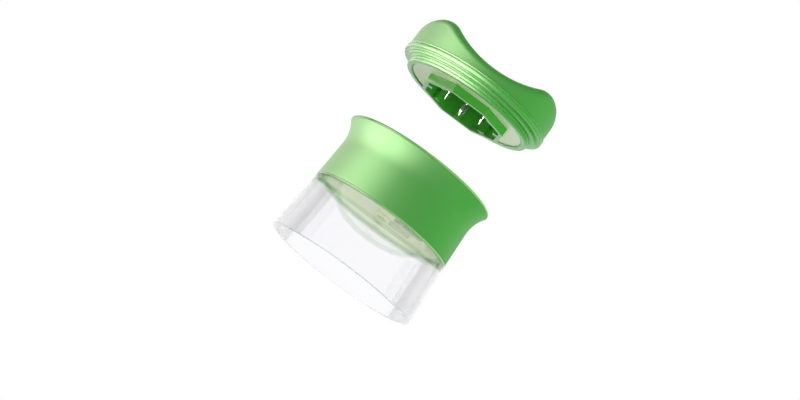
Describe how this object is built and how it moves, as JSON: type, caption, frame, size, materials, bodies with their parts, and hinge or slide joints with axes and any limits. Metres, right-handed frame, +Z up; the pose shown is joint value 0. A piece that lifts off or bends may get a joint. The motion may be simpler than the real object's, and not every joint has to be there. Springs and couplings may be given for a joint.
{
  "type": "hand spiralizer",
  "caption": "Hand-held vegetable spiralizer: clear stand-up sleeve, flared green body with a blade, and a lifted food holder with a saddle-shaped twist grip.",
  "frame": {"origin": "centre of the sleeve's foot, on the surface that the tool stands on", "axes": "+Z up the tool's axis, from the sleeve's foot to the food holder; +X across the saddle, from one lobe to the other"},
  "size_m": [0.0884, 0.0884, 0.1381],
  "materials": {
    "soft_green": "satin soft-touch skin, apple green",
    "hard_green": "smooth moulded plastic, apple green",
    "gloss_green": "polished moulded plastic, apple green",
    "hard_green_pale": "plain moulded plastic, pale green",
    "pale_plate": "pale green-white moulded plastic",
    "clear": "clear thick-walled plastic",
    "gasket": "translucent silicone",
    "steel": "stainless screws",
    "blade_steel": "ground stainless steel"
  },
  "bodies": {
    "cutter_body": {"clear_sleeve": "clear", "sleeve_gasket": "gasket", "grip_skin": "soft_green", "body_core": "hard_green", "food_guide": "hard_green_pale", "blade_platform": "pale_plate", "platform_screws": "steel", "blade_bridge": "pale_plate", "slicing_blade": "blade_steel", "blade_screws": "steel", "julienne_comb": "blade_steel", "core_cutter": "blade_steel"},
    "pin_carrier": {"centre_pin": "blade_steel"},
    "food_holder": {"cap_ring": "gloss_green", "base_plate": "pale_plate", "gripping_collar": "hard_green", "holder_screws": "steel", "knob_frame": "hard_green_pale", "knob_grip": "soft_green", "grip_spikes": "blade_steel"}
  },
  "joints": [
    {"name": "holder_feed", "type": "slide", "parent": "cutter_body", "child": "pin_carrier", "axis": [0, 0, 1], "range_m": [-0.046, 0.03]},
    {"name": "holder_twist", "type": "hinge", "parent": "pin_carrier", "child": "food_holder", "pos_m": [0, 0, 0.1175], "axis": [0, 0, 1], "continuous": true}
  ]
}
